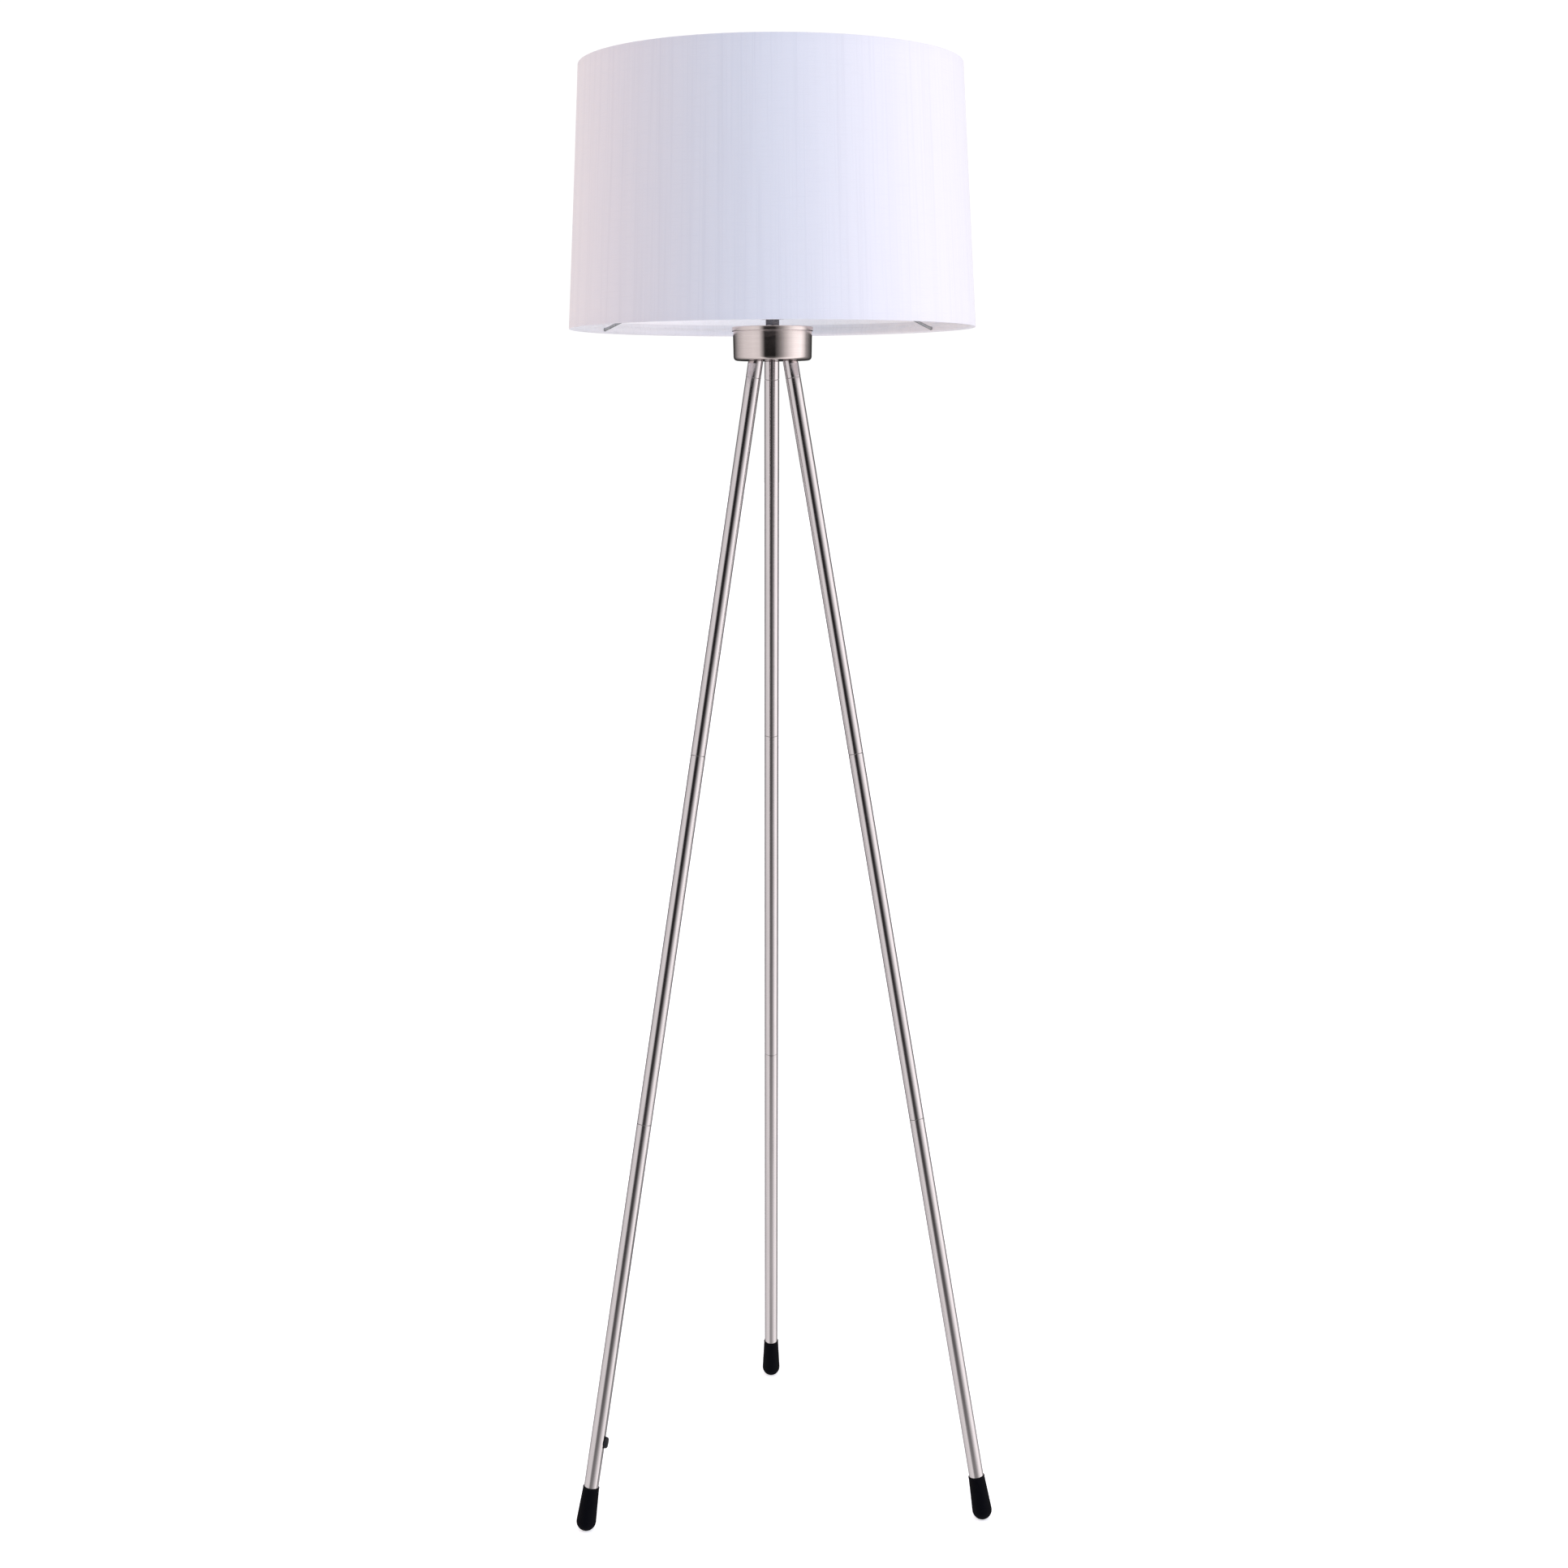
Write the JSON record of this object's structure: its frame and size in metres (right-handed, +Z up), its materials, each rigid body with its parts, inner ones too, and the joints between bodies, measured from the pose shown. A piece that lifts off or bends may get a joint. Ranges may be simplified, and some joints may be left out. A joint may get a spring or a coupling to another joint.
{
  "type": "tripod floor lamp",
  "caption": "Tripod floor lamp: slim satin steel tube legs on black rubber feet, a round steel hub, and a white, slightly tapered fabric drum shade on a wire spider.",
  "frame": {"origin": "centre of the lamp's footprint box, on the floor; the upright axis of hub and shade is 23.9 mm to the -Y side of it", "axes": "+Z up, +Y towards the back leg, +X to the right when the cord outlet's leg is front left"},
  "size_m": [0.4578, 0.4777, 1.563],
  "materials": {
    "satin_steel": "satin nickel over steel, fine brushing along the tubes",
    "bright_steel": "bright zinc or nickel plate",
    "black_rubber": "moulded, matt",
    "black_plastic": "moulded, satin",
    "white_insulator": "moulded insulating plastic",
    "brass": "plain rolled strip",
    "zinc_wire": "bright zinc plate",
    "shade_fabric": "white slub weave laminated on a clear stiff sheet",
    "opal_globe": "opal, soft gloss"
  },
  "bodies": {
    "stand": {"leg_upper_back": "satin_steel", "leg_middle_back": "satin_steel", "leg_lower_back": "satin_steel", "leg_stub_back": "satin_steel", "leg_nipple_top_back": "bright_steel", "leg_nipple_mid_back": "bright_steel", "leg_nipple_low_back": "bright_steel", "leg_nut_back": "bright_steel", "foot_back": "black_rubber", "leg_upper_left": "satin_steel", "leg_middle_left": "satin_steel", "leg_lower_left": "satin_steel", "leg_stub_left": "satin_steel", "leg_nipple_top_left": "bright_steel", "leg_nipple_mid_left": "bright_steel", "leg_nipple_low_left": "bright_steel", "leg_nut_left": "bright_steel", "foot_left": "black_rubber", "leg_upper_right": "satin_steel", "leg_middle_right": "satin_steel", "leg_lower_right": "satin_steel", "leg_stub_right": "satin_steel", "leg_nipple_top_right": "bright_steel", "leg_nipple_mid_right": "bright_steel", "leg_nipple_low_right": "bright_steel", "leg_nut_right": "bright_steel", "foot_right": "black_rubber", "cord_grommet": "black_plastic", "hub_cup": "satin_steel", "hub_lid": "satin_steel", "leg_socket_plate": "bright_steel", "centre_nipple": "bright_steel", "lid_washer": "satin_steel", "plate_nut": "bright_steel", "lid_nut": "bright_steel", "lampholder_cap": "bright_steel", "lampholder_body": "black_plastic", "switch_block": "white_insulator", "terminal_disc": "white_insulator", "centre_contact": "brass", "screw_shell": "brass", "shade_clamp_ring": "black_plastic", "bulb_cap": "bright_steel", "bulb_globe": "opal_globe"},
    "shade": {"shade_drum": "shade_fabric", "shade_top_ring": "zinc_wire", "shade_bottom_ring": "zinc_wire", "fitter_ring": "zinc_wire", "spider_arm_1": "zinc_wire", "spider_arm_2": "zinc_wire", "spider_arm_3": "zinc_wire"},
    "switch": {"switch_knob": "black_plastic", "switch_stem": "brass"}
  },
  "joints": [
    {"name": "shade_turn", "type": "hinge", "parent": "stand", "child": "shade", "pos_m": [0, -0.0239, 1.3681], "axis": [0, 0, 1], "continuous": true},
    {"name": "switch_turn", "type": "hinge", "parent": "stand", "child": "switch", "pos_m": [0, -0.0239, 1.331], "axis": [0.866, -0.5, 0], "continuous": true}
  ]
}
